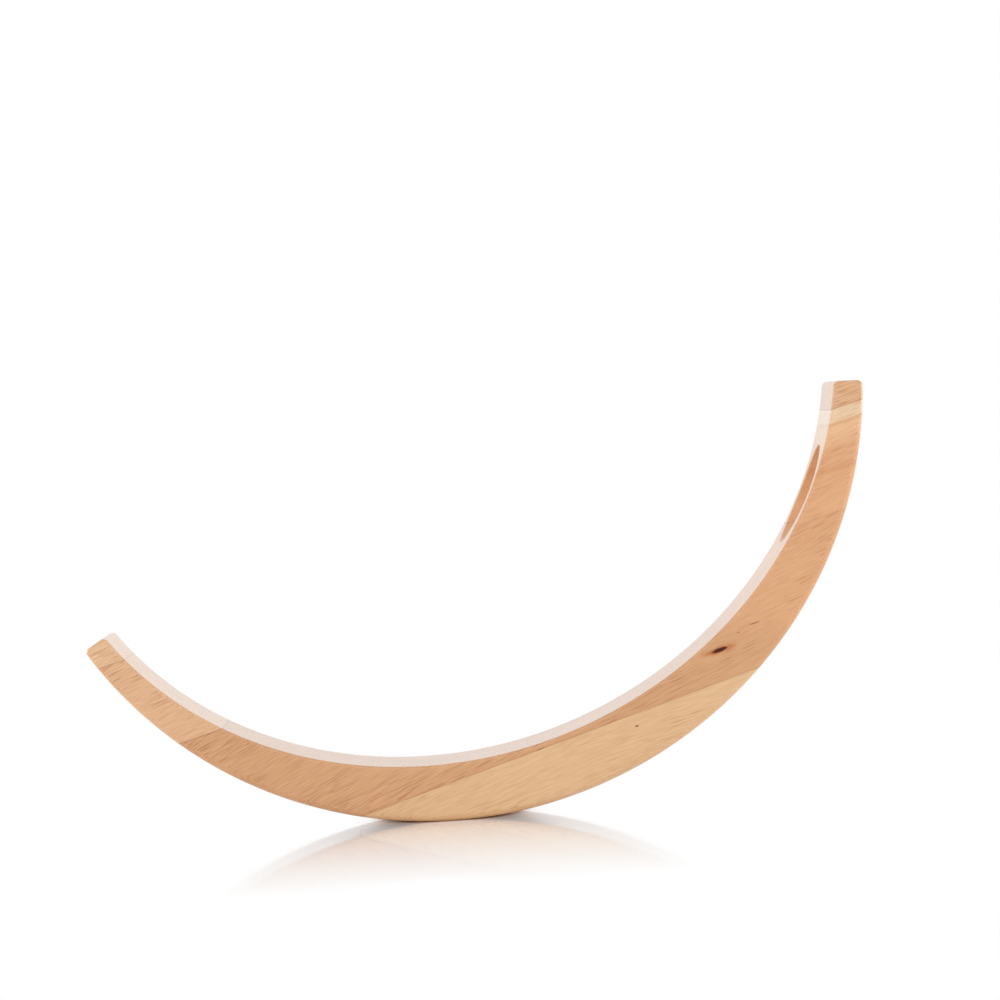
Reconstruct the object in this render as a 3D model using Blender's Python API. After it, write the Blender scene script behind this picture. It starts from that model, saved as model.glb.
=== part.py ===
"""Balancing wine bottle holder: a wooden crescent that rocks on its outer curve, with a bore in one arm.

The crescent is cut from a board of edge-glued staves, so each stave that is left after the cut is one piece.
It is drawn upright in its own frame: X across the crescent, Z up its axis from its lowest point, Y through
the board, front face at -Y. An empty then leans it as it stands in use, with the foot at the world origin.
Lengths are in metres, angles in degrees.
"""

import math

import bmesh
import bpy
from mathutils import Matrix, Vector

# Outline of the crescent: an outer and an inner ellipse on one upright axis
OUTER_HALF_WIDTH = 0.1436
OUTER_HALF_HEIGHT = 0.1386
SIDE_THICKNESS = 0.0068
MIDDLE_THICKNESS = 0.0204
INNER_CENTRE_RISE = 0.00315
LEFT_ARM_RISE = 0.1096
RIGHT_ARM_RISE = 0.0894

# Board and its edges; at the tips the corners of the outline are rounder than the edges by the tip round
BOARD_DEPTH = 0.045
EDGE_ROUND = 0.0013
TIP_ROUND = 0.0004

# Slanted neck bore, through the right arm and in the middle of the board
NECK_BORE_DIAMETER = 0.033
BORE_BELOW_TIP = 0.0350
BORE_TILT = -23.45

# Staves of the glued board, counted from the lower tip down; the base stave is what remains. Its glue line
# has a slant of its own and leaves the waist stave this thin under the hollow
STAVE_TILT = -3.95
BASE_LINE_TILT = -2.87
TIP_STAVE_WIDTH = 0.0059
ARM_STAVE_WIDTH = 0.0326
WAIST_THICKNESS = 0.0019
GLUE_LINE = 0.0003

# Stance: how far the crescent leans to its left end, and the narrow flat that it stands on
REST_TILT = 19.77
FOOT_FLAT = 0.006

# Facets of the round forms
LONG_ARC_STEPS = 48
SHORT_ARC_STEPS = 40
INNER_STEPS = 88
BORE_STEPS = 56
TIP_STEPS = 4
ROUND_STEPS = 3

# Angle between two facets from which their edge stays sharp
SHARP_ANGLE = 35.0

# Linear colours of the staves
PALE_WOOD = (0.745, 0.485, 0.28, 1.0)
WARM_WOOD = (0.65, 0.37, 0.20, 1.0)
TAN_WOOD = (0.72, 0.42, 0.235, 1.0)
WOOD_ROUGHNESS = 0.42

# The inner ellipse follows from the outer one and the wood that is left between them
INNER_HALF_WIDTH = OUTER_HALF_WIDTH - SIDE_THICKNESS
INNER_CENTRE = Vector((0.0, 0.0, OUTER_HALF_HEIGHT + INNER_CENTRE_RISE))
INNER_HALF_HEIGHT = INNER_CENTRE.z - MIDDLE_THICKNESS


def clear_scene():
    """Remove every object that the file opened with."""
    for obj in list(bpy.data.objects):
        bpy.data.objects.remove(obj, do_unlink=True)


def wood(name, colour):
    """A satin wood finish for one stave."""
    material = bpy.data.materials.new(name)
    material.use_nodes = True
    shader = material.node_tree.nodes["Principled BSDF"]
    shader.inputs["Base Color"].default_value = colour
    shader.inputs["Roughness"].default_value = WOOD_ROUGHNESS
    shader.inputs["Metallic"].default_value = 0.0
    material.diffuse_color = colour
    return material


def outer_point(angle):
    """Point of the outer ellipse at a parameter angle, counted from straight down to the right."""
    x = OUTER_HALF_WIDTH * math.sin(angle)
    z = OUTER_HALF_HEIGHT * (1.0 - math.cos(angle))
    return Vector((x, 0.0, z))


def outer_normal(angle):
    """Unit vector out of the outer ellipse at a parameter angle."""
    x = math.sin(angle) / OUTER_HALF_WIDTH
    z = -math.cos(angle) / OUTER_HALF_HEIGHT
    return Vector((x, 0.0, z)).normalized()


def inner_point(angle):
    """Point of the inner ellipse at a parameter angle, counted from straight down to the right."""
    x = INNER_HALF_WIDTH * math.sin(angle)
    z = -INNER_HALF_HEIGHT * math.cos(angle)
    return INNER_CENTRE + Vector((x, 0.0, z))


def outer_angle_at_rise(rise):
    """Parameter angle of the outer ellipse at a height above its lowest point."""
    return math.acos(1.0 - rise / OUTER_HALF_HEIGHT)


def inner_angle_on_ray(start, direction):
    """Parameter angle where a ray from outside first meets the inner ellipse."""
    scale = Vector((1.0 / INNER_HALF_WIDTH, 0.0, 1.0 / INNER_HALF_HEIGHT))
    p = (start - INNER_CENTRE) * scale
    d = direction * scale
    half_b = p.dot(d)
    root = math.sqrt(half_b * half_b - d.dot(d) * (p.dot(p) - 1.0))
    hit = p + d * ((-half_b - root) / d.dot(d))
    return math.atan2(hit.x, -hit.z)


def foot_angles():
    """Parameter angles of both edges of the flat that the leaning crescent stands on."""
    lean = math.radians(REST_TILT)
    middle = -math.atan2(OUTER_HALF_WIDTH * math.sin(lean), OUTER_HALF_HEIGHT * math.cos(lean))
    length_per_angle = math.hypot(OUTER_HALF_WIDTH * math.cos(middle), OUTER_HALF_HEIGHT * math.sin(middle))
    half_flat = 0.5 * FOOT_FLAT / length_per_angle
    return middle - half_flat, middle + half_flat


def steps(first, last, count):
    """Evenly spaced values from first to last, both included."""
    return [first + (last - first) * i / count for i in range(count + 1)]


def end_angles():
    """Parameter angles of both ends: outer left, outer right, inner left, inner right."""
    left = -outer_angle_at_rise(LEFT_ARM_RISE)
    right = outer_angle_at_rise(RIGHT_ARM_RISE)
    inner_left = inner_angle_on_ray(outer_point(left), -outer_normal(left))
    inner_right = inner_angle_on_ray(outer_point(right), -outer_normal(right))
    return left, right, inner_left, inner_right


def outline():
    """Points of the crescent, its ends cut square to the outer curve, and the indices of its corners."""
    left, right, inner_left, inner_right = end_angles()
    foot_left, foot_right = foot_angles()
    outer = steps(left, foot_left, SHORT_ARC_STEPS)
    outer += steps(foot_right, right, LONG_ARC_STEPS)
    points = [outer_point(angle) for angle in outer]
    points += [inner_point(angle) for angle in steps(inner_right, inner_left, INNER_STEPS)]
    corners = (0, len(outer) - 1, len(outer), len(points) - 1)
    return points, corners


def crescent_blank():
    """Mesh of the whole crescent: outline, round tips, board depth and rounded edges."""
    points, corners = outline()
    front = Vector((0.0, -0.5 * BOARD_DEPTH, 0.0))
    shape = bmesh.new()
    verts = [shape.verts.new(point + front) for point in points]
    shape.faces.new(verts)
    bmesh.ops.bevel(
        shape,
        geom=[verts[i] for i in corners],
        offset=EDGE_ROUND + TIP_ROUND,
        offset_type="OFFSET",
        segments=TIP_STEPS,
        profile=0.5,
        affect="VERTICES",
    )
    grown = bmesh.ops.extrude_face_region(shape, geom=shape.faces[:])
    back = [item for item in grown["geom"] if isinstance(item, bmesh.types.BMVert)]
    bmesh.ops.translate(shape, verts=back, vec=(0.0, BOARD_DEPTH, 0.0))
    bmesh.ops.recalc_face_normals(shape, faces=shape.faces[:])
    flats = [item for item in shape.faces if abs(item.normal.y) > 0.9]
    rims = {edge for item in flats for edge in item.edges}
    bmesh.ops.bevel(
        shape,
        geom=list(rims),
        offset=EDGE_ROUND,
        offset_type="OFFSET",
        segments=ROUND_STEPS,
        profile=0.5,
        affect="EDGES",
        clamp_overlap=True,
    )
    mesh = bpy.data.meshes.new("crescent_blank")
    shape.to_mesh(mesh)
    shape.free()
    mesh.shade_smooth()
    mesh.set_sharp_from_angle(angle=math.radians(SHARP_ANGLE))
    return mesh


def as_cutter(obj):
    """Keep a tool body out of sight."""
    obj.hide_render = True
    obj.display_type = "WIRE"
    return obj


def neck_drill():
    """Cylinder along the neck's axis, long enough to pass right through the right arm."""
    right = end_angles()[1]
    bore_angle = outer_angle_at_rise(outer_point(right).z - BORE_BELOW_TIP)
    outside = outer_point(bore_angle)
    inside = inner_point(inner_angle_on_ray(outside, -outer_normal(bore_angle)))
    axis = Vector((math.cos(math.radians(BORE_TILT)), 0.0, math.sin(math.radians(BORE_TILT))))
    drill_length = 2.0 * (outside - inside).length + 2.0 * NECK_BORE_DIAMETER
    shape = bmesh.new()
    bmesh.ops.create_cone(
        shape,
        cap_ends=True,
        segments=BORE_STEPS,
        radius1=0.5 * NECK_BORE_DIAMETER,
        radius2=0.5 * NECK_BORE_DIAMETER,
        depth=drill_length,
    )
    mesh = bpy.data.meshes.new("neck_drill")
    shape.to_mesh(mesh)
    shape.free()
    drill = bpy.data.objects.new("neck_drill", mesh)
    drill.location = (outside + inside) * 0.5
    drill.rotation_euler = axis.to_track_quat("Z", "Y").to_euler()
    bpy.context.collection.objects.link(drill)
    return as_cutter(drill)


def across_line(tilt):
    """Unit vector square to a glue line of this tilt, pointing up."""
    angle = math.radians(tilt)
    return Vector((-math.sin(angle), 0.0, math.cos(angle)))


def glue_lines():
    """The three glue lines, lowest first, each as a level along its own normal and a tilt."""
    left, right, _, _ = end_angles()
    up = across_line(STAVE_TILT)
    lower_tip = min(up.dot(outer_point(left)), up.dot(outer_point(right)))
    tip_level = lower_tip - TIP_STAVE_WIDTH
    arm_level = tip_level - ARM_STAVE_WIDTH
    base_up = across_line(BASE_LINE_TILT)
    reach = math.hypot(INNER_HALF_WIDTH * base_up.x, INNER_HALF_HEIGHT * base_up.z)
    base_level = base_up.dot(INNER_CENTRE) - reach - WAIST_THICKNESS
    return (base_level, BASE_LINE_TILT), (arm_level, STAVE_TILT), (tip_level, STAVE_TILT)


def moved_line(line, distance):
    """A glue line moved along its own normal."""
    level, tilt = line
    return level + distance, tilt


def point_on_line(line, x):
    """Point of a glue line at a place across the crescent."""
    level, tilt = line
    up = across_line(tilt)
    return Vector((x, 0.0, (level - up.x * x) / up.z))


def stave_slab(name, low, high, left, right):
    """Slab between two glue lines that one stave is cut out with."""
    corners = [point_on_line(low, left), point_on_line(low, right)]
    corners += [point_on_line(high, right), point_on_line(high, left)]
    front = Vector((0.0, -BOARD_DEPTH, 0.0))
    shape = bmesh.new()
    shape.faces.new([shape.verts.new(corner + front) for corner in corners])
    grown = bmesh.ops.extrude_face_region(shape, geom=shape.faces[:])
    back = [item for item in grown["geom"] if isinstance(item, bmesh.types.BMVert)]
    bmesh.ops.translate(shape, verts=back, vec=(0.0, 2.0 * BOARD_DEPTH, 0.0))
    bmesh.ops.recalc_face_normals(shape, faces=shape.faces[:])
    mesh = bpy.data.meshes.new(name + "_slab")
    shape.to_mesh(mesh)
    shape.free()
    slab = bpy.data.objects.new(name + "_slab", mesh)
    bpy.context.collection.objects.link(slab)
    return as_cutter(slab)


def cut(obj, tool, operation):
    """Add a Boolean to a stave."""
    boolean = obj.modifiers.new(tool.name, "BOOLEAN")
    boolean.operation = operation
    boolean.solver = "EXACT"
    boolean.object = tool


def rest_stand():
    """Empty that leans the crescent so that the middle of its foot is the world origin."""
    lean = Matrix.Rotation(math.radians(-REST_TILT), 3, "Y")
    foot_left, foot_right = foot_angles()
    middle = (outer_point(foot_left) + outer_point(foot_right)) * 0.5
    stand = bpy.data.objects.new("rest_stand", None)
    stand.rotation_euler = lean.to_euler()
    stand.location = -(lean @ middle)
    bpy.context.collection.objects.link(stand)
    return stand


def build():
    """Cut the six staves out of one blank and lean them together."""
    clear_scene()
    stand = rest_stand()
    blank = crescent_blank()
    drill = neck_drill()
    base_line, arm_line, tip_line = glue_lines()
    far = 2.0 * max(OUTER_HALF_WIDTH, OUTER_HALF_HEIGHT)
    gap = 0.5 * GLUE_LINE
    bands = {
        "base": (moved_line(base_line, -far), moved_line(base_line, -gap)),
        "waist": (moved_line(base_line, gap), moved_line(arm_line, -gap)),
        "arm": (moved_line(arm_line, gap), moved_line(tip_line, -gap)),
        "tip": (moved_line(tip_line, gap), moved_line(tip_line, far)),
    }
    staves = (
        ("base_stave", "base", -far, far, PALE_WOOD),
        ("waist_stave", "waist", -far, far, WARM_WOOD),
        ("left_arm_stave", "arm", -far, 0.0, TAN_WOOD),
        ("right_arm_stave", "arm", 0.0, far, TAN_WOOD),
        ("left_tip_stave", "tip", -far, 0.0, TAN_WOOD),
        ("right_tip_stave", "tip", 0.0, far, TAN_WOOD),
    )
    drill.parent = stand
    for name, band, left, right, colour in staves:
        low, high = bands[band]
        slab = stave_slab(name, low, high, left, right)
        slab.parent = stand
        stave = bpy.data.objects.new(name, blank.copy())
        stave.data.name = name
        stave.data.materials.append(wood(name + "_wood", colour))
        stave.parent = stand
        bpy.context.collection.objects.link(stave)
        cut(stave, drill, "DIFFERENCE")
        cut(stave, slab, "INTERSECT")


build()
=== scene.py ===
# %% [markdown]
# # A balancing holder of glued hardwood
#
# The real thing is one wooden crescent. It was sawn out of a board that is glued up from staves, drilled
# once on a slant, sanded round at its edges and lacquered. This lesson makes it in nearly the same order:
# draw the crescent, give it its depth, round it, drill it, saw it along the glue lines, and then finish
# the wood.
#
# The imported model is the fixed frame for all of this. It says where every stave is, so it is loaded first,
# and its box is printed, to set beside the box of the finished holder at the end.

# %% Load the frame
import math

import bmesh
import bpy
from mathutils import Matrix, Vector


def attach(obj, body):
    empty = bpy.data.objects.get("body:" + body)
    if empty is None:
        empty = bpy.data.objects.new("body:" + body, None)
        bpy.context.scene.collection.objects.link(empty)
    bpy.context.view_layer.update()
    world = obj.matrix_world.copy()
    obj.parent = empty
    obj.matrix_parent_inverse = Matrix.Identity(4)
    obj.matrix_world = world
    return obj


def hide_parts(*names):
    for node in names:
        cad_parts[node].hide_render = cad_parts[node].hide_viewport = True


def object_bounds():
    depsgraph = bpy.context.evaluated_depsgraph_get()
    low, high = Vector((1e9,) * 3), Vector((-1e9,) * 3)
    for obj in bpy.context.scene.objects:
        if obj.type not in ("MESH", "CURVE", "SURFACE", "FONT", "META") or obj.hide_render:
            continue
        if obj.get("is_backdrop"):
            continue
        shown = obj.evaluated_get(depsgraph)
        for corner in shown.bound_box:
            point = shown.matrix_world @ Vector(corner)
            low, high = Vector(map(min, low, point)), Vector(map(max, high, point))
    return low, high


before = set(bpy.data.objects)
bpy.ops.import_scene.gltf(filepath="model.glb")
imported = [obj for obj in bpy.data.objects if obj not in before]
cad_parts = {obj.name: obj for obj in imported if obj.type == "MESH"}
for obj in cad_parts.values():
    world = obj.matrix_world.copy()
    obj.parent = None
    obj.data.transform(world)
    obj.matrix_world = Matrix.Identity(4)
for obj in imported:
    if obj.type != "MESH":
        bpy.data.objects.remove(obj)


def in_mm(lengths, digits=1):
    """Lengths in metres as rounded millimetres, to print."""
    return [round(1000.0 * length, digits) for length in lengths]


cad_box = [list(corner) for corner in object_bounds()]
print("staves in the frame:", sorted(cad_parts))
print("box of the frame, in mm:", [in_mm(corner) for corner in cad_box])

# %% [markdown]
# ## The holder's own sizes
#
# The crescent is drawn upright, with X across it and Z up its axis from its lowest point. Both of its
# curves are parts of ellipses on that axis, so a few sizes fix the whole outline. Only after the drilling
# is it leaned over, to stand as it does in use. All lengths are in metres and all angles in degrees.

# %% Sizes of the crescent
OUTER_HALF_WIDTH = 0.1436
OUTER_HALF_HEIGHT = 0.1386
SIDE_THICKNESS = 0.0068
MIDDLE_THICKNESS = 0.0204
INNER_CENTRE_RISE = 0.00315
LEFT_ARM_RISE = 0.1096
RIGHT_ARM_RISE = 0.0894
BOARD_DEPTH = 0.045
TIP_ROUND = 0.00176
REST_TILT = 19.77

INNER_HALF_WIDTH = OUTER_HALF_WIDTH - SIDE_THICKNESS
INNER_CENTRE = OUTER_HALF_HEIGHT + INNER_CENTRE_RISE
INNER_HALF_HEIGHT = INNER_CENTRE - MIDDLE_THICKNESS


def outer_point(angle):
    """Point of the outer ellipse; the angle counts from straight down to the right."""
    x = OUTER_HALF_WIDTH * math.sin(angle)
    return Vector((x, 0.0, OUTER_HALF_HEIGHT * (1.0 - math.cos(angle))))


def outer_normal(angle):
    """Unit vector out of the outer ellipse."""
    x = math.sin(angle) / OUTER_HALF_WIDTH
    return Vector((x, 0.0, -math.cos(angle) / OUTER_HALF_HEIGHT)).normalized()


def outer_angle(rise):
    """Angle at which the outer ellipse has risen this far above its lowest point."""
    return math.acos(1.0 - rise / OUTER_HALF_HEIGHT)


def inner_angle(angle):
    """Angle of the inner ellipse straight across the wood from a point of the outer one."""
    scale = Vector((1.0 / INNER_HALF_WIDTH, 0.0, 1.0 / INNER_HALF_HEIGHT))
    start = (outer_point(angle) - Vector((0.0, 0.0, INNER_CENTRE))) * scale
    way = -outer_normal(angle) * scale
    half_b = start.dot(way)
    root = math.sqrt(half_b * half_b - way.dot(way) * (start.dot(start) - 1.0))
    hit = start + way * ((-half_b - root) / way.dot(way))
    return math.atan2(hit.x, -hit.z)


left_end = -outer_angle(LEFT_ARM_RISE)
right_end = outer_angle(RIGHT_ARM_RISE)
print("outer curve, in degrees:", round(math.degrees(left_end), 1), "to", round(math.degrees(right_end), 1))

# %% [markdown]
# ## Working as by hand
#
# Operators act on whatever is selected, and loading the frame leaves its staves selected. So every step
# first clears the selection and opens just one piece. Inside edit mode the faces and edges are picked by
# where they are or which way they face, in place of a click with the mouse.

# %% Helpers for edit mode
def only(piece):
    """Makes this piece the one that is selected and active, in object mode."""
    if bpy.context.object and bpy.context.object.mode != "OBJECT":
        bpy.ops.object.mode_set(mode="OBJECT")
    bpy.ops.object.select_all(action="DESELECT")
    piece.select_set(True)
    bpy.context.view_layer.objects.active = piece


def open_piece(piece):
    """Opens one piece in edit mode with nothing selected in it."""
    only(piece)
    bpy.ops.object.mode_set(mode="EDIT")
    bpy.ops.mesh.select_all(action="DESELECT")


def close_piece():
    """Back to object mode."""
    bpy.ops.object.mode_set(mode="OBJECT")


def pick(piece, kind, wanted):
    """Selects the vertices, edges or faces of an opened piece that pass a test, and counts them."""
    bpy.ops.mesh.select_mode(type=kind)
    bpy.ops.mesh.select_all(action="DESELECT")
    shape = bmesh.from_edit_mesh(piece.data)
    parts = {"VERT": shape.verts, "EDGE": shape.edges, "FACE": shape.faces}[kind]
    chosen = [part for part in parts if wanted(part)]
    for part in chosen:
        part.select_set(True)
    shape.select_flush_mode()
    bmesh.update_edit_mesh(piece.data)
    return len(chosen)


def apply_modifier(piece, kind, **settings):
    """Adds one modifier with its settings and applies it at once."""
    only(piece)
    modifier = piece.modifiers.new(kind.lower(), kind)
    for name, value in settings.items():
        setattr(modifier, name, value)
    bpy.ops.object.modifier_apply(modifier=modifier.name)


print("selected after loading:", len(bpy.context.selected_objects))

# %% [markdown]
# ## Drawing the two curves
#
# A curve like this could be a Bezier, but its handles would have to be guessed. An ellipse is a circle
# that is squeezed, so here one vertex is spun round a centre and the row of points is then scaled. Both
# curves get the same number of steps, which lets the next step join them with clean four-sided faces.

# %% Spin the outer and the inner curve
CURVE_STEPS = 220
FRONT = -0.5 * BOARD_DEPTH


def spun_curve(name, first, last, half_width, half_height, centre):
    """A row of edges on an ellipse, from one angle to another, in the plane of the front face."""
    pivot = (0.0, FRONT, 0.0)
    bpy.ops.object.select_all(action="DESELECT")
    bpy.ops.mesh.primitive_plane_add(size=1.0, location=(0.0, 0.0, 0.0))
    curve = bpy.context.object
    curve.name = name
    bpy.ops.object.mode_set(mode="EDIT")
    bpy.ops.mesh.merge(type="CENTER")
    bpy.ops.transform.translate(value=(math.sin(first), FRONT, -math.cos(first)))
    bpy.ops.mesh.spin(steps=CURVE_STEPS, angle=last - first, center=pivot, axis=(0.0, 1.0, 0.0))
    bpy.ops.mesh.select_all(action="SELECT")
    bpy.ops.transform.resize(value=(half_width, 1.0, half_height), center_override=pivot)
    bpy.ops.transform.translate(value=(0.0, 0.0, centre))
    close_piece()
    return curve


outer_curve = spun_curve(
    "outer_curve", left_end, right_end,
    OUTER_HALF_WIDTH, OUTER_HALF_HEIGHT, OUTER_HALF_HEIGHT)
inner_curve = spun_curve(
    "inner_curve", inner_angle(left_end), inner_angle(right_end),
    INNER_HALF_WIDTH, INNER_HALF_HEIGHT, INNER_CENTRE)
for curve in (outer_curve, inner_curve):
    points = curve.data.vertices
    ends = [in_mm(points[0].co), in_mm(points[-1].co)]
    print(curve.name, "has", len(points), "points and ends at", ends, "mm")

# %% [markdown]
# ## From two curves to a board
#
# Bridging fills the space between the curves with one row of faces, and extruding that row gives the
# board its depth. The last few cross lines at each tip are dissolved on the way, because the next step
# rounds the tips and a bevel can't be wider than the edges beside it.

# %% Bridge the curves and extrude the board
TIP_CLEAR = 0.004
tips = [outer_point(left_end), outer_point(right_end)]


def near_tip(edge):
    """True for a cross line that lies close to a tip, but not for the tip's own edge."""
    ends = [vert.co - Vector((0.0, FRONT, 0.0)) for vert in edge.verts]
    crosses = len(edge.link_faces) == 2
    return crosses and any((end - tip).length < TIP_CLEAR for end in ends for tip in tips)


only(outer_curve)
inner_curve.select_set(True)
bpy.ops.object.join()
crescent = outer_curve
crescent.name = "crescent"
open_piece(crescent)
bpy.ops.mesh.select_all(action="SELECT")
bpy.ops.mesh.bridge_edge_loops()
print("cross lines dissolved at the tips:", pick(crescent, "EDGE", near_tip))
bpy.ops.mesh.dissolve_edges(use_verts=True)
bpy.ops.mesh.select_all(action="SELECT")
bpy.ops.mesh.extrude_region_move(TRANSFORM_OT_translate={"value": (0.0, BOARD_DEPTH, 0.0)})
bpy.ops.mesh.select_all(action="SELECT")
bpy.ops.mesh.normals_make_consistent(inside=False)
close_piece()
print("board:", in_mm(crescent.dimensions, 2), "mm")

# %% [markdown]
# ## Rounding the tips and the edges
#
# The corners of both tips are rounded first, as edges through the depth of the board. The long edges are
# then easy to find: each has a flat face of the board on one side only. They were sanded by hand, more on
# the outer curve than in the hollow. So every edge gets a bevel weight, and one Bevel modifier rounds
# each by its own share of the width.

# %% Round the tips, then all edges
OUTER_EDGE_ROUND = 0.0024
INNER_EDGE_ROUND = 0.0010
TAPER_START = 0.009
TAPER_LENGTH = 0.015
TIP_SEGMENTS = 7
EDGE_SEGMENTS = 6
FLAT_FACE = 0.99
CORNER_ANGLE = 45.0


def faces_front_or_back(face):
    """True for the board's two flat faces."""
    return abs(face.normal.y) > FLAT_FACE


def tip_corner(edge):
    """True for the edges through the depth of the board at the four corners of the tips."""
    through = abs((edge.verts[0].co - edge.verts[1].co).normalized().y) > FLAT_FACE
    return through and edge.calc_face_angle(0.0) > math.radians(CORNER_ANGLE)


def board_rim(edge):
    """True for an edge between a flat face and a curved one."""
    return len({faces_front_or_back(face) for face in edge.link_faces}) == 2


def round_share(edge):
    """Share of the full round-over for an edge: all on the outer curve, less at tips and in the hollow."""
    middle = (edge.verts[0].co + edge.verts[1].co) / 2.0
    middle.y = 0.0
    from_centre = math.hypot(middle.x / OUTER_HALF_WIDTH, middle.z / OUTER_HALF_HEIGHT - 1.0)
    in_from_outer = OUTER_HALF_HEIGHT * (1.0 - from_centre)
    outer = max(0.0, 1.0 - in_from_outer / SIDE_THICKNESS)
    from_tips = min((middle - tip).length for tip in tips)
    taper = min(1.0, max(0.0, (from_tips - TAPER_START) / TAPER_LENGTH))
    least = INNER_EDGE_ROUND / OUTER_EDGE_ROUND
    return least + (1.0 - least) * outer * taper


open_piece(crescent)
print("tip corners:", pick(crescent, "EDGE", tip_corner))
bpy.ops.mesh.bevel(offset=TIP_ROUND, segments=TIP_SEGMENTS, affect="EDGES")
print("edges to round:", pick(crescent, "EDGE", board_rim))
shape = bmesh.from_edit_mesh(crescent.data)
weight = shape.edges.layers.float.new("bevel_weight_edge")
for edge in shape.edges:
    edge[weight] = round_share(edge) if edge.select else 0.0
close_piece()
apply_modifier(
    crescent, "BEVEL", limit_method="WEIGHT", width=OUTER_EDGE_ROUND, segments=EDGE_SEGMENTS,
    loop_slide=False, use_clamp_overlap=False)
print("rounded board has", len(crescent.data.polygons), "faces")

# %% [markdown]
# ## The slanted bore
#
# The bore runs through the right arm, nearly level when the holder stands in use, so on the upright
# crescent it slants. A Boolean with a fine cylinder cuts it. The drill has a material of its own, and the
# cut faces keep it, so that the rims of the hole can be found and eased with a small bevel, as a maker
# would do with sandpaper. Rim points that lie very close together are merged first, because a bevel folds
# over there.

# %% Drill the bore and ease its rims
BORE_DIAMETER = 0.033
BORE_BELOW_TIP = 0.0350
BORE_TILT = -23.45
BORE_SIDES = 160
BORE_EASE = 0.0006
BORE_EASE_SEGMENTS = 3
DRILL_LENGTH = 3.0 * BORE_DIAMETER
RIM_SPACING = 0.0003


def inner_point(angle):
    """Point of the inner ellipse; the angle counts as on the outer one."""
    x = INNER_HALF_WIDTH * math.sin(angle)
    return Vector((x, 0.0, INNER_CENTRE - INNER_HALF_HEIGHT * math.cos(angle)))


bore_angle = outer_angle(RIGHT_ARM_RISE - BORE_BELOW_TIP)
bore_middle = (outer_point(bore_angle) + inner_point(inner_angle(bore_angle))) / 2.0

bpy.ops.object.select_all(action="DESELECT")
bpy.ops.mesh.primitive_cylinder_add(
    vertices=BORE_SIDES, radius=BORE_DIAMETER / 2.0, depth=DRILL_LENGTH,
    location=bore_middle, rotation=(0.0, math.radians(90.0 - BORE_TILT), 0.0))
drill = bpy.context.object
drill.name = "drill"
drill.data.materials.append(bpy.data.materials.new("bare_bore"))
crescent.data.materials.append(bpy.data.materials.new("board"))
apply_modifier(
    crescent, "BOOLEAN", object=drill, operation="DIFFERENCE", solver="EXACT", material_mode="TRANSFER")
bpy.data.objects.remove(drill)

open_piece(crescent)
print("faces in the bore:", pick(crescent, "FACE", lambda face: face.material_index > 0))
bpy.ops.mesh.region_to_loop()
bpy.ops.mesh.remove_doubles(threshold=RIM_SPACING)
bpy.ops.mesh.bevel(offset=BORE_EASE, segments=BORE_EASE_SEGMENTS, affect="EDGES", loop_slide=False)
close_piece()
crescent.data.polygons.foreach_set("material_index", [0] * len(crescent.data.polygons))
crescent.data.materials.clear()

# %% [markdown]
# ## Leaning it into its stance
#
# In use the holder leans to its left and touches the table along one line. The turn and the move are set
# on the object and then applied, so that the place is in the mesh and the object itself sits at the
# origin. A cut level with the table leaves the narrow flat that it stands on.

# %% Lean the crescent and flatten its foot
FOOT_FLAT = 0.006
SAW_PRECISION = 0.000001

lean = math.radians(REST_TILT)
foot_angle = -math.atan2(OUTER_HALF_WIDTH * math.sin(lean), OUTER_HALF_HEIGHT * math.cos(lean))
foot_reach = math.hypot(OUTER_HALF_WIDTH * math.cos(foot_angle), OUTER_HALF_HEIGHT * math.sin(foot_angle))
half_flat = 0.5 * FOOT_FLAT / foot_reach
foot = (outer_point(foot_angle - half_flat) + outer_point(foot_angle + half_flat)) / 2.0
turn = Matrix.Rotation(-lean, 3, "Y")
stand = -(turn @ foot)

only(crescent)
crescent.rotation_euler = turn.to_euler()
crescent.location = stand
bpy.ops.object.transform_apply(location=True, rotation=True, scale=True)
open_piece(crescent)
bpy.ops.mesh.select_all(action="SELECT")
bpy.ops.mesh.bisect(
    plane_co=(0.0, 0.0, 0.0), plane_no=(0.0, 0.0, 1.0),
    use_fill=True, clear_inner=True, threshold=SAW_PRECISION)
close_piece()
print("foot at", in_mm(turn @ foot + stand, 2), "mm")

# %% [markdown]
# ## Sawing it along the glue lines
#
# Three glue lines run through the crescent. The upper two are parallel, and the lowest is a degree
# steeper as the holder stands. Each cut copies the piece in hand and bisects the two copies on either
# side of the line, with their open sides filled. Less than a hair's breadth stays between them for the
# glue. Above the second line the hollow has already parted the wood, so what is left falls into a left
# and a right piece.

# %% The glue lines
STAVE_TILT = -3.95
BASE_LINE_TILT = -2.87
TIP_STAVE_WIDTH = 0.0059
ARM_STAVE_WIDTH = 0.0326
WAIST_THICKNESS = 0.0019


def across_line(tilt):
    """Unit vector square to a glue line of this tilt, on the upright crescent."""
    angle = math.radians(tilt)
    return Vector((-math.sin(angle), 0.0, math.cos(angle)))


def glue_line(level, tilt):
    """A glue line in the leaning stance: its normal, and how far along that normal it lies."""
    normal = turn @ across_line(tilt)
    return normal, level + normal.dot(stand)


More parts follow.
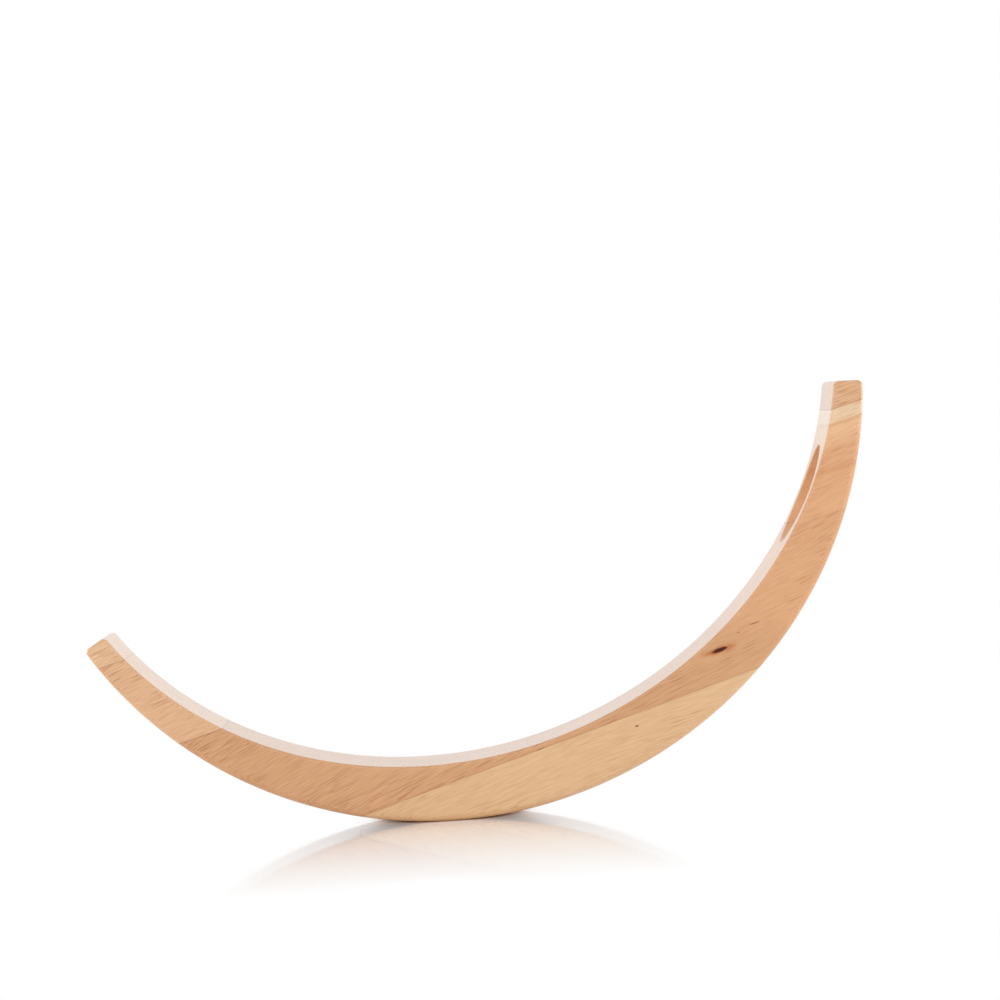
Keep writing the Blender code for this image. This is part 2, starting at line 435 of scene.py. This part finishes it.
tip_level = min(across_line(STAVE_TILT).dot(tip) for tip in tips) - TIP_STAVE_WIDTH
base_up = across_line(BASE_LINE_TILT)
hollow_reach = math.hypot(INNER_HALF_WIDTH * base_up.x, INNER_HALF_HEIGHT * base_up.z)
base_level = base_up.z * INNER_CENTRE - hollow_reach - WAIST_THICKNESS
BASE_LINE = glue_line(base_level, BASE_LINE_TILT)
ARM_LINE = glue_line(tip_level - ARM_STAVE_WIDTH, STAVE_TILT)
TIP_LINE = glue_line(tip_level, STAVE_TILT)
for name, (normal, level) in (("base", BASE_LINE), ("arm", ARM_LINE), ("tip", TIP_LINE)):
    rise = math.degrees(math.atan2(-normal.x, normal.z))
    print(name, "glue line rises", round(rise, 2), "degrees,", in_mm([level], 2)[0], "mm from the foot")

# %% Saw the staves apart
GLUE_FILM = 0.00001


def trim(piece, line, keep_above):
    """Cuts a piece along a glue line and keeps one side of it."""
    normal, level = line
    open_piece(piece)
    bpy.ops.mesh.select_all(action="SELECT")
    shift = GLUE_FILM / 2.0 if keep_above else -GLUE_FILM / 2.0
    bpy.ops.mesh.bisect(
        plane_co=normal * (level + shift), plane_no=normal, use_fill=True, threshold=SAW_PRECISION,
        clear_inner=keep_above, clear_outer=not keep_above)
    close_piece()


def saw(piece, line, lower_name):
    """Parts a piece at a glue line: a copy becomes the lower stave, and the piece is what is left above."""
    only(piece)
    bpy.ops.object.duplicate()
    lower = bpy.context.object
    lower.name = lower_name
    trim(lower, line, keep_above=False)
    trim(piece, line, keep_above=True)
    return lower


def halves(piece, name):
    """Parts a sawn piece that has fallen in two, and names the halves by their side."""
    only(piece)
    bpy.ops.mesh.separate(type="LOOSE")
    found = {}
    for half in list(bpy.context.selected_objects):
        side = "left" if sum(vert.co.x for vert in half.data.vertices) < 0.0 else "right"
        half.name = half.data.name = "wood_" + side + "_" + name
        found[side] = half
    return found


wood = {"base_stave": saw(crescent, BASE_LINE, "wood_base_stave")}
wood["waist_stave"] = saw(crescent, ARM_LINE, "wood_waist_stave")
arms = halves(saw(crescent, TIP_LINE, "wood_arms"), "arm_stave")
tip_ends = halves(crescent, "tip_stave")
for side in ("left", "right"):
    wood[side + "_arm_stave"] = arms[side]
    wood[side + "_tip_stave"] = tip_ends[side]
for node, piece in wood.items():
    print(node, "has", len(piece.data.polygons), "faces")

# %% [markdown]
# ## Smooth shading
#
# The curves are meant to look smooth and the sawn ends sharp, so shading follows the angle between two
# faces. The big flat faces would still pick up a false gradient from the round-over beside them. Weighted
# normals let the larger face decide, which keeps them flat.

# %% Shade the staves
SMOOTH_ANGLE = 35.0
LARGE_FACE_WEIGHT = 100

for piece in wood.values():
    only(piece)
    bpy.ops.object.shade_smooth_by_angle(angle=math.radians(SMOOTH_ANGLE))
    apply_modifier(piece, "WEIGHTED_NORMAL", keep_sharp=True, weight=LARGE_FACE_WEIGHT)
print("staves shaded smooth up to", SMOOTH_ANGLE, "degrees:", len(wood))

# %% [markdown]
# ## Shader sums in Python
#
# A wood finish is mostly arithmetic on coordinates. Wired by hand it would fill a screen with Math nodes.
# This small class wraps a socket, so that a sum written in Python adds those nodes by itself. Any other
# node comes from its one method, which takes the node's type, its settings and what its sockets get.

# %% A socket that can be reckoned with
class Wire:
    """An output socket in a node tree that takes part in Python sums."""

    def __init__(self, tree, socket=None):
        self.tree = tree
        self.socket = socket

    def node(self, kind, settings=None, sockets=None, out=0):
        """Adds one node: its type, its settings first, then the values or wires of its sockets."""
        made = self.tree.nodes.new("ShaderNode" + kind)
        for name, value in (settings or {}).items():
            setattr(made, name, value)
        for name, value in (sockets or {}).items():
            if isinstance(value, Wire):
                value.feed(made, name)
            else:
                made.inputs[name].default_value = value
        return Wire(self.tree, made.outputs[out])

    def feed(self, node, name):
        """Links this wire to a socket of a node."""
        self.tree.links.new(self.socket, node.inputs[name])

    def math(self, operation, *values):
        """One Math node on wires and numbers."""
        return self.node("Math", {"operation": operation}, dict(enumerate(values)))

    def __add__(self, other):
        return self.math("ADD", self, other)

    def __sub__(self, other):
        return self.math("SUBTRACT", self, other)

    def __rsub__(self, other):
        return self.math("SUBTRACT", other, self)

    def __mul__(self, other):
        return self.math("MULTIPLY", self, other)

    def __truediv__(self, other):
        return self.math("DIVIDE", self, other)

    def __pow__(self, other):
        return self.math("POWER", self, other)

    def __abs__(self):
        return self.math("ABSOLUTE", self)

    __radd__ = __add__
    __rmul__ = __mul__

    def fade(self, start, end):
        """A smooth step from 0 at start to 1 at end; start may be the larger of the two."""
        sockets = {"Value": self, "From Min": start, "From Max": end}
        return self.node("MapRange", {"interpolation_type": "SMOOTHSTEP"}, sockets)

    def flat(self, colour):
        """One plain colour as a wire, to mix others into."""
        return self.node("CombineColor", sockets=dict(enumerate(colour[:3])))

    def mix(self, other, amount, blend="MIX"):
        """This colour mixed with another colour by an amount."""
        settings = {"data_type": "RGBA", "blend_type": blend}
        return self.node("Mix", settings, {0: amount, 6: self, 7: other}, out=2)

    def times(self, tint):
        """This colour multiplied by a tint."""
        return self.mix(tint, 1.0, "MULTIPLY")


# %% [markdown]
# ## Colours as the eye sees them
#
# A colour picked off a screen has values from 0 to 255 that are spaced for the eye, and a shader reckons
# with light. Blender's colour field converts a hex code by itself, but a script has to do that sum. With
# it, all tones below can be written as they look.

# %% Screen colours in linear values
def linear_part(value):
    """One channel of a screen colour, 0 to 255, as an amount of light, by the sRGB curve."""
    part = value / 255.0
    if part <= 0.04045:
        return part / 12.92
    return ((part + 0.055) / 1.055) ** 2.4


def linear(red, green, blue):
    """A screen colour in the linear values that a shader takes."""
    return linear_part(red), linear_part(green), linear_part(blue), 1.0


print("a middle grey in linear values:", [round(part, 3) for part in linear(128, 128, 128)])

# %% [markdown]
# ## From the photograph to the wood
#
# The camera looks almost straight at the board from a little above. One pixel is about a third of a
# millimetre at the front face. With the pixel where the holder touches the table, that turns any pixel
# into a place on the front face, which serves both the camera and the marks in the grain.

# %% Places on the front face
PIXEL = 0.000334
PHOTO_ROLL = 3.68
PHOTO_FOOT = (452.5, 821.0)


def on_front(column, row):
    """World place on the board's front face that a pixel of the photograph shows."""
    roll = math.radians(PHOTO_ROLL)
    right = column - PHOTO_FOOT[0]
    down = row - PHOTO_FOOT[1]
    x = PIXEL * (right * math.cos(roll) - down * math.sin(roll))
    z = PIXEL * (-right * math.sin(roll) - down * math.cos(roll))
    return Vector((x, FRONT, z))


print("the foot's pixel lies at", in_mm(on_front(*PHOTO_FOOT)), "mm")

# %% [markdown]
# ## Grain
#
# The board is a pale hardwood with a fine, even ground and short dark pores that look like pencil dashes
# along the grain. The staves come from different boards, so each has its own tone and its own run of the
# grain. A picture could be wrapped round the piece, but it would not meet itself at the edges. The grain
# is solid here: every point of the wood takes its colour from its place in the stave, so the dashes of
# the front face end as dots on the cut ends, as they do in wood. A pore is the middle of a long cell of a
# Voronoi texture. Each cell draws a lot, and only a small share of them shows.

# %% Grain coordinates
GRAIN_TILT = math.radians(REST_TILT + STAVE_TILT)
ALONG = Vector((math.cos(GRAIN_TILT), 0.0, math.sin(GRAIN_TILT)))
ACROSS = Vector((-math.sin(GRAIN_TILT), 0.0, math.cos(GRAIN_TILT)))
THROUGH = Vector((0.0, 1.0, 0.0))
BEND_START = 0.05
WANDER = 0.0022
WANDER_LENGTH = 0.06
WANDER_WIDTH = 0.015
PORE_CELL = 1.6
PORE_BORDER = (0.36, 0.29)
LOT_BORDER = 0.05
FRAY_LENGTH = 0.0016
FRAY_WIDTH = 0.0007
FRAY = 0.9
LINE_CORE = 0.2


class Grain:
    """Coordinates inside one stave: along the grain, across it on the front face, and through the board."""

    def __init__(self, wire, seed, slope, bend):
        self.wire = wire
        self.seed = seed
        self.place = wire.node("TexCoord", out="Object")
        self.along = self.measure(ALONG)
        self.level = self.measure(ACROSS)
        self.depth = self.measure(THROUGH)
        left = wire.math("MINIMUM", self.along - BEND_START, 0.0)
        self.across = self.level - self.along * slope - left * left * bend
        self.wander = (self.noise(WANDER_LENGTH, WANDER_WIDTH) - 0.5) * WANDER
        self.across = self.across + self.wander

    def measure(self, direction):
        """Distance of a point along a direction, from the foot."""
        sockets = {0: self.place, 1: direction}
        return self.wire.node("VectorMath", {"operation": "DOT_PRODUCT"}, sockets, out="Value")

    def stretched(self, length, width, shift):
        """Coordinates in which a feature this long along the grain and this wide has the size 1."""
        return self.wire.node("CombineXYZ", sockets={
            0: self.along / length + shift, 1: self.across / width + shift, 2: self.depth / width + shift})

    def noise(self, length, width, detail=2.0):
        """Soft noise that runs along the grain."""
        sockets = {"Vector": self.stretched(length, width, self.seed), "Scale": 1.0, "Detail": detail}
        return self.wire.node("TexNoise", sockets=sockets)

    def dashes(self, length, width, share):
        """Pores along the grain, 1 inside a pore and 0 beside it; share says how many of them show."""
        place = self.stretched(PORE_CELL * length, PORE_CELL * width, self.seed + length)
        cells = {"Vector": place, "Scale": 1.0}
        near = self.wire.node("TexVoronoi", sockets=cells)
        lot = self.wire.node("TexVoronoi", sockets=cells, out="Color")
        draw = self.wire.node("SeparateColor", sockets={0: lot})
        return near.fade(*PORE_BORDER) * draw.fade(share + LOT_BORDER, share - LOT_BORDER)

    def oval(self, place, length, width):
        """Square of the distance from a place, where 1 is an oval of this half length and half width."""
        far = ((self.along - place.dot(ALONG)) / length) ** 2.0
        return far + ((self.level - place.dot(ACROSS)) / width) ** 2.0

    def spot(self, place, length, width, depth, full=0.3):
        """A long spot at a place on the front face; it is full inside this share of its size, squared, and
        fades out unevenly from there."""
        far = self.oval(place, length, width) + ((self.depth - place.y) / depth) ** 2.0
        far = far + (self.noise(FRAY_LENGTH, FRAY_WIDTH) - 0.5) * FRAY
        return far.fade(1.0, full)

    def hairline(self, line, width):
        """A thin line along a glue joint."""
        normal, level = line
        return abs(self.measure(normal) - level).fade(width, LINE_CORE * width)


print("the grain rises", round(math.degrees(GRAIN_TILT), 2), "degrees to the right")

# %% [markdown]
# ## Lines and pores
#
# The colour of bare wood is built up in layers, as the eye takes it in: a ground with soft bands and
# clouds, finer lines, and then the pores. One noise stretched along the grain could stand for all of
# them, but it looks like brushed metal. Wood needs several sizes at once, and pores that crowd together
# in some places and leave others calm.

# %% Layers of the grain
BANDS = {"length": 0.12, "width": 0.0045, "detail": 3.0}
LINES = {"length": 0.0075, "width": 0.00027, "detail": 1.0}
CLOUDS = {"length": 0.035, "width": 0.016, "detail": 2.0}
HAIRS = {"length": 0.0065, "width": 0.00026, "detail": 0.0}
DASHES = {"length": 0.0055, "width": 0.00022, "share": 0.1}
BAND_SHADE = 0.8
LINE_SHADE = 2.6
CLOUD_SHADE = 0.5
HAIR_BORDER = (0.58, 0.74)
HAIR_SHADE = 0.8
DASH_SHADE = 0.7
CROWD_BORDER = (0.38, 0.62)
LONE_PORES = 0.3
PALE_GRAIN = (1.10, 1.14, 1.20, 1.0)
DARK_GRAIN = (0.92, 0.88, 0.84, 1.0)


def lined_wood(grain, ground, lines, clouds, strength):
    """The ground tone, paler and darker in turn with the bands, the lines and the clouds."""
    bands = grain.noise(**BANDS)
    shade = (bands - 0.5) * BAND_SHADE + (lines - 0.5) * LINE_SHADE + (clouds - 0.5) * CLOUD_SHADE
    return ground.times(PALE_GRAIN).mix(ground.times(DARK_GRAIN), shade * strength + 0.5)


def pores(grain, clouds, strength):
    """1 where a pore opens: fine hairs along the grain, and a few single dashes."""
    hairs = grain.noise(**HAIRS).fade(*HAIR_BORDER) * strength * HAIR_SHADE
    dashes = grain.dashes(**DASHES) * DASH_SHADE
    crowd = clouds.fade(*CROWD_BORDER) * (1.0 - LONE_PORES) + LONE_PORES
    return grain.wire.math("MAXIMUM", hairs, dashes) * crowd


print("fine lines and hairs, in mm:", in_mm([LINES["width"], HAIRS["width"]], 2))

# %% [markdown]
# ## Finish of one stave
#
# Under the lacquer the wood itself is matt, and the lacquer is the coat of the shader. On the front it
# adds only a little white, which is taken off the colours first, but at a flat angle it turns the curved
# faces nearly white. It sinks a little into the pores, which a bump follows, and it hardly takes on the
# hard core of a knot. A glossy wood without a coat would be simpler, but then the gloss would break up
# with the grain.

# %% Stave finish
WOOD_ROUGHNESS = 0.5
PORE_ROUGHNESS = 0.2
LINE_ROUGHNESS = 0.1
WOOD_GLOSS = 0.1
LACQUER_ROUGHNESS = 0.20
LACQUER_INDEX = 1.46
LACQUER_GLARE = 0.04
DULLNESS = 0.9
PORE_DEPTH = 0.00005
LINE_DEPTH = 0.2
BUMP_STRENGTH = 0.5
HAIRLINE = 0.0004
PORE_SHADE = (0.58, 0.40, 0.27, 1.0)
CALM_REACH = (0.0, 0.07)


def under_lacquer(red, green, blue):
    """The colour that wood needs under the lacquer to look like this in a white room."""
    parts = linear(red, green, blue)[:3]
    return tuple([(part - LACQUER_GLARE) / (1.0 - LACQUER_GLARE) for part in parts] + [1.0])


def lacquer(shader, grain, dull):
    """The clear coat over the wood, which is left thin where the wood is dull."""
    shader.inputs["Coat Weight"].default_value = 1.0
    shader.inputs["Coat Roughness"].default_value = LACQUER_ROUGHNESS
    shader.inputs["Coat IOR"].default_value = LACQUER_INDEX
    if dull:
        coat = 1.0 - dull(grain) * DULLNESS
        coat.feed(shader, "Coat Weight")


def stave_finish(
        name, tone, seed, slope, bend=0.0, contrast=1.0, calm=1.0,
        tones=(), marks=(), joints=(), dull=None):
    """Lacquered wood for one stave. Slope and bend are the run of its grain, contrast is the strength of
    its lines, and calm the share of that strength which is left at the stave's right end. Tones change its
    ground, marks lie on its grain, joints are its glue lines, and dull is what the lacquer hardly covers."""
    material = bpy.data.materials.new(name)
    material.use_nodes = True
    tree = material.node_tree
    shader = tree.nodes["Principled BSDF"]
    wire = Wire(tree)
    grain = Grain(wire, seed, slope, bend)

    ground = wire.flat(under_lacquer(*tone))
    for change in tones:
        ground = change(grain, ground)
    lines = grain.noise(**LINES)
    clouds = grain.noise(**CLOUDS)
    strength = (grain.along.fade(*CALM_REACH) * (calm - 1.0) + 1.0) * contrast
    pore_mask = pores(grain, clouds, strength)
    pore_tone = ground.times(PORE_SHADE)
    colour = lined_wood(grain, ground, lines, clouds, strength).mix(pore_tone, pore_mask)
    for mark in marks:
        colour = mark(grain, colour)
    for line, darkness in joints:
        colour = colour.mix(pore_tone, grain.hairline(line, HAIRLINE) * darkness)
    colour.feed(shader, "Base Color")

    rough = pore_mask * PORE_ROUGHNESS + (lines - 0.5) * LINE_ROUGHNESS + WOOD_ROUGHNESS
    rough.feed(shader, "Roughness")
    height = (lines - 0.5) * LINE_DEPTH - pore_mask
    bump = {"Height": height, "Strength": BUMP_STRENGTH, "Distance": PORE_DEPTH}
    wire.node("Bump", sockets=bump).feed(shader, "Normal")
    shader.inputs["Specular IOR Level"].default_value = WOOD_GLOSS
    lacquer(shader, grain, dull)
    return material


print("a middle grey under the lacquer:", [round(part, 3) for part in under_lacquer(128, 128, 128)])

# %% [markdown]
# ## Marks in the wood
#
# The waist stave has one dark knot on its right side, with a reddish halo that runs out along the grain.
# A few single flecks lie about. Just under the raised tip a paler band crosses the arm, and further down
# a reddish grain line. They could be painted on the mesh, but then they would stop at the surface. Each
# is a small function that mixes one more colour in at its own place and depth.

# %% Knot, flecks and bands
KNOT_CORE = {"length": 0.0033, "width": 0.00085, "depth": 0.016}
KNOT_HALO = {"length": 0.0076, "width": 0.0015, "depth": 0.020, "full": 0.0}
CORE_TONE = (80, 33, 17)
HALO_TONE = (186, 112, 72)
HALO_STRENGTH = 0.85
FLECK_TONE = (122, 74, 57)
FLECK_DEPTH = 0.003
PATCH_CORE = 0.2
PATCH_STRENGTH = 0.8


def knot_core(place):
    """The hard, dark middle of a knot, which lacquer hardly covers."""
    return lambda grain: grain.spot(place, **KNOT_CORE)


def knot(place):
    """A dark knot with a reddish halo that tapers along the grain."""
    def paint(grain, colour):
        halo = grain.spot(place, **KNOT_HALO)
        colour = colour.mix(under_lacquer(*HALO_TONE), halo * HALO_STRENGTH)
        return colour.mix(linear(*CORE_TONE), knot_core(place)(grain))
    return paint


def fleck(place, length, width, strength=0.8):
    """A short dark dash."""
    def paint(grain, colour):
        dash = grain.spot(place, length, width, FLECK_DEPTH)
        return colour.mix(under_lacquer(*FLECK_TONE), dash * strength)
    return paint


def patch(place, length, width, tone):
    """A large, soft change of tone through the whole depth of the board."""
    def paint(grain, colour):
        soft = grain.oval(place, length, width).fade(1.0, PATCH_CORE)
        return colour.mix(under_lacquer(*tone), soft * PATCH_STRENGTH)
    return paint


def band(line, low, high, border, tone, strength):
    """A stripe along a glue line, between two distances from it, with soft borders."""
    def paint(grain, colour):
        normal, level = line
        rise = grain.measure(normal) - level + grain.wander
        stripe = rise.fade(low - border, low + border) * rise.fade(high + border, high - border)
        return colour.mix(under_lacquer(*tone), stripe * strength)
    return paint


KNOT = on_front(719.5, 650.0)
FLECK_BY_KNOT = on_front(754.5, 623.0)
DOT_BY_KNOT = on_front(738.5, 632.5)
FLECK_IN_BASE = on_front(637.0, 726.0)
FLECK_IN_WAIST = on_front(540.5, 749.2)
RIGHT_OF_WAIST = on_front(808.0, 560.0)
print("knot at", in_mm(KNOT), "mm")

# %% [markdown]
# ## Six staves, six finishes
#
# Each stave has its own tone, matched to the photograph: the base is pale and yellowish, the waist is
# warmer and darker, and the arms and tips lie between. One material with a switch could serve all six,
# but separate ones are easier to adjust. The seed shifts the grain, so that no two staves repeat each
# other. The glue lines are drawn on the staves that they join.

# %% Finishes of the base and the waist
finishes = {}
finishes["base_stave"] = stave_finish(
    "pale_stave", tone=(219, 180, 139), seed=1.7, slope=0.02, bend=-0.9, contrast=0.65,
    marks=[fleck(FLECK_IN_BASE, length=0.0008, width=0.0004)],
    joints=[(BASE_LINE, 0.2)])
finishes["waist_stave"] = stave_finish(
    "warm_stave", tone=(208, 160, 120), seed=5.2, slope=0.12, bend=-0.35, calm=0.6,
    tones=[patch(RIGHT_OF_WAIST, length=0.05, width=0.026, tone=(218, 167, 126))],
    marks=[knot(KNOT),
           fleck(FLECK_BY_KNOT, length=0.0021, width=0.00027, strength=0.66),
           fleck(DOT_BY_KNOT, length=0.0005, width=0.00035, strength=0.5),
           fleck(FLECK_IN_WAIST, length=0.0018, width=0.0003)],
    joints=[(BASE_LINE, 0.3), (ARM_LINE, 0.35)], dull=knot_core(KNOT))
print("finished so far:", sorted(finishes))

# %% Finishes of the arms and the tips
finishes["left_arm_stave"] = stave_finish(
    "left_arm_wood", tone=(219, 175, 137), seed=9.1, slope=0.13, contrast=0.9,
    joints=[(ARM_LINE, 0.6), (TIP_LINE, 0.3)])
finishes["right_arm_stave"] = stave_finish(
    "right_arm_wood", tone=(217, 166, 125), seed=12.6, slope=0.12, contrast=0.6,
    tones=[band(TIP_LINE, -0.0105, 0.0, border=0.004, tone=(229, 186, 145), strength=0.8),
           band(TIP_LINE, -0.0047, 0.0, border=0.0007, tone=(229, 200, 166), strength=0.9),
           band(TIP_LINE, -0.0053, -0.0047, border=0.0004, tone=(205, 152, 110), strength=0.5),
           band(TIP_LINE, -0.0200, -0.0178, border=0.0012, tone=(206, 146, 104), strength=0.5)],
    joints=[(TIP_LINE, 0.5)])
finishes["left_tip_stave"] = stave_finish(
    "left_tip_wood", tone=(222, 183, 146), seed=15.8, slope=0.1, contrast=0.9,
    joints=[(TIP_LINE, 0.6)])
finishes["right_tip_stave"] = stave_finish(
    "right_tip_wood", tone=(216, 173, 134), seed=19.3, slope=0.05, contrast=0.9,
    joints=[(TIP_LINE, 0.5)])
print("finished:", sorted(finishes))

# %% [markdown]
# ## Putting the staves in the frame
#
# Every stave takes the place of its plain solid in the imported model and rides on the model's only body,
# since nothing on this holder moves.

# %% Tie the staves to the frame
for node, piece in wood.items():
    piece.data.materials.clear()
    piece.data.materials.append(finishes[node])
    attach(piece, "root")
    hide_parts(node)

# %% [markdown]
# ## The table
#
# The holder stands on a white, slightly glossy table. A lit white floor would always turn grey somewhere, so
# its white is given out by the floor itself, and only to rays that look at it. Around the foot this white
# fades, through a painted brownish shadow in the glow itself, and a matt floor takes over, on which the
# shadow of the wood falls. Under the board that matt floor is painted brown for the rays that look at it: a
# painted shade in place of the light that comes off the wood. On top lies a mirror that grows stronger at a
# flat angle, as on any polished table, and fades out towards the viewer.

# %% The table top
FLOOR_SIZE = 6.0

bpy.ops.object.select_all(action="DESELECT")
bpy.ops.mesh.primitive_plane_add(size=FLOOR_SIZE, location=(0.0, 0.0, 0.0))
floor = bpy.context.object
floor.name = "floor"
floor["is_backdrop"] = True
floor_material = bpy.data.materials.new("white_table")
floor_material.use_nodes = True
floor_material.node_tree.nodes.clear()
floor.data.materials.append(floor_material)
print("table of", FLOOR_SIZE, "m")

# %% White and shadow of the table
WHITE = (1.0, 1.0, 1.0, 1.0)
FLOOR_WHITE = (0.97, 0.97, 0.97, 1.0)
# SHADOW_TONE is painted shade: the brown that the matt floor under the board is given, in place of light off
# the wood.
SHADOW_TONE = (0.70, 0.45, 0.32, 1.0)
# SHADOW_BORDER is painted shadow: the brownish tint that the floor's glowing white takes on around the foot.
SHADOW_BORDER = (0.78, 0.60, 0.51, 1.0)
SHADOW_LENGTH = 0.030
SHADOW_DEPTH = 0.032
SHADOW_CORE = 0.4
SHADOW_END = 1.0
BORDER_END = 1.6
SHADOW_SPREAD = 3.0
SHADOW_EDGE = 0.005


def looked_at(wire):
    """1 for rays from the camera and those that a gloss or a clear body sends on, 0 for light itself."""
    names = ("Is Camera Ray", "Is Glossy Ray", "Is Transmission Ray")
    rays = [wire.node("LightPath", out=name) for name in names]
    return wire.math("MAXIMUM", wire.math("MAXIMUM", rays[0], rays[1]), rays[2])


wire = Wire(floor_material.node_tree)
place = wire.node("TexCoord", out="Object")
sideways = wire.node("SeparateXYZ", sockets={0: place}, out="X")
forward = wire.node("SeparateXYZ", sockets={0: place}, out="Y")
seen = looked_at(wire)
in_camera = wire.node("LightPath", out="Is Camera Ray")
near = (sideways / SHADOW_LENGTH) ** 2.0 + (forward / SHADOW_DEPTH) ** 2.0
clear = near.fade(SHADOW_CORE, SHADOW_END)
under = near.fade(SHADOW_CORE, SHADOW_SPREAD)
free = in_camera * (clear - under) + under
beside = abs(forward).fade(BOARD_DEPTH / 2.0, BOARD_DEPTH / 2.0 + SHADOW_EDGE)

# Painted shade: under the board the matt floor is brown for rays that look at it. The shadow that falls on
# it is cast.
ground = wire.flat(FLOOR_WHITE).mix(SHADOW_TONE, seen * (1.0 - beside))
matt = wire.node("BsdfDiffuse", sockets={"Color": ground})
# Painted shadow: the glow is tinted brown around the foot, and is pure white beside the board and farther
# out.
pure = wire.math("MAXIMUM", near.fade(SHADOW_CORE, BORDER_END), beside)
glow_with_painted_shadow = wire.flat(SHADOW_BORDER).mix(WHITE, pure)
white = wire.node("Emission", sockets={"Color": glow_with_painted_shadow, "Strength": 1.0})
table = wire.node("MixShader", sockets={0: free * seen, 1: matt, 2: white})
print("shadow reaches", in_mm([SHADOW_LENGTH, SHADOW_DEPTH]), "mm from the foot, sideways and forward")

# %% Mirror of the table
TABLE_INDEX = 1.5
TABLE_ROUGHNESS = 0.05
REFLECTION = 1.33
REFLECTION_REACH = 0.22
REFLECTION_AT_FOOT = 0.25

mirror = wire.node("BsdfGlossy", sockets={"Color": WHITE, "Roughness": TABLE_ROUGHNESS})
fading = wire.node("MapRange", sockets={
    "Value": abs(forward), "From Max": REFLECTION_REACH, "To Min": REFLECTION, "To Max": 0.0})
gloss = wire.node("Fresnel", sockets={"IOR": TABLE_INDEX})
share = fading * gloss * (clear * (1.0 - REFLECTION_AT_FOOT) + REFLECTION_AT_FOOT)
surface = wire.node("MixShader", sockets={0: share * in_camera, 1: table, 2: mirror})
output = floor_material.node_tree.nodes.new("ShaderNodeOutputMaterial")
surface.feed(output, "Surface")
print("reflection fades out", in_mm([REFLECTION_REACH])[0], "mm from the board's middle")

# %% [markdown]
# ## The room and the lamps
#
# The room is white all round, a little dimmer as a light than as it looks, so that a colour renders about
# as it is written. That alone would look flat. A large lamp in front lifts the face of the board, and a
# low lamp on either side, almost in the plane of the board, draws a pale line along its rounded edges.
# One strong lamp could light it all, but it would leave a hard shadow and a glaring spot.

# %% Room and lamps
ROOM_LIGHT = 0.84
ROOM_SEEN = 1.0

scene = bpy.context.scene
world = bpy.data.worlds.new("white_room")
world.use_nodes = True
scene.world = world
background = world.node_tree.nodes["Background"]
background.inputs["Color"].default_value = WHITE
strength = looked_at(Wire(world.node_tree)) * (ROOM_SEEN - ROOM_LIGHT) + ROOM_LIGHT
strength.feed(background, "Strength")


def soft_lamp(name, place, aim, size, power):
    """A flat lamp, so wide and so high, that looks at a point."""
    data = bpy.data.lights.new(name, "AREA")
    data.shape = "RECTANGLE"
    data.size, data.size_y = size
    data.energy = power
    lamp = bpy.data.objects.new(name, data)
    lamp.location = place
    lamp.rotation_euler = (Vector(aim) - Vector(place)).to_track_quat("-Z", "Y").to_euler()
    scene.collection.objects.link(lamp)
    print(name, "of", power, "W at", place)


soft_lamp("lamp_above", place=(-0.2, -1.5, 0.8), aim=(0.0, 0.0, 0.05), size=(1.2, 1.2), power=3.6)
soft_lamp("lamp_right", place=(1.1, -0.1, 0.18), aim=(0.1, 0.0, 0.12), size=(0.8, 0.35), power=4.0)
soft_lamp("lamp_left", place=(-1.1, -0.1, 0.18), aim=(-0.1, 0.0, 0.08), size=(0.8, 0.35), power=3.0)
scene.view_settings.view_transform = "Standard"

# %% [markdown]
# ## The camera
#
# The photograph was taken from about one and a half metres with a long lens, straight at the board and
# slightly rolled. The lines through the depth of the board run to a point left of the picture's middle
# and above it, and the eye stands in front of that point. The lens is shifted by what is left to the
# middle, as the picture is framed. Turning the camera towards the middle would be simpler, but lines that
# are parallel on the board would then run together in the picture.

# %% The camera
EYE_PIXEL = (426.5, 410.7)
EYE_DISTANCE = 1.48
PHOTO_SIDE = 1000
SENSOR_WIDTH = 36.0
FARTHEST_SEEN = 20.0

eye = on_front(*EYE_PIXEL) + Vector((0.0, -EYE_DISTANCE, 0.0))
look = Vector((0.0, 1.0, 0.0)).to_track_quat("-Z", "Y").to_matrix()
roll = Matrix.Rotation(-math.radians(PHOTO_ROLL), 3, "Z")
camera_data = bpy.data.cameras.new("camera")
camera_data.sensor_width = SENSOR_WIDTH
camera_data.lens = SENSOR_WIDTH * EYE_DISTANCE / (PIXEL * PHOTO_SIDE)
camera_data.shift_x = 0.5 - EYE_PIXEL[0] / PHOTO_SIDE
camera_data.shift_y = EYE_PIXEL[1] / PHOTO_SIDE - 0.5
camera_data.clip_end = FARTHEST_SEEN
camera = bpy.data.objects.new("camera", camera_data)
camera.matrix_world = Matrix.Translation(eye) @ (look @ roll).to_4x4()
scene.collection.objects.link(camera)
scene.camera = camera
print("lens", round(camera_data.lens, 1), "mm, eye at", [round(value, 3) for value in eye])

# %% [markdown]
# ## The box of the finished holder
#
# The finished staves have to stay inside the box of the imported model. The box of the finished holder is
# printed, to set beside the box printed at the start.

# %% Print the box of the finished holder
visual_box = [list(corner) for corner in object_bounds()]
print("box of the finished holder, in mm:", [in_mm(corner, 2) for corner in visual_box])
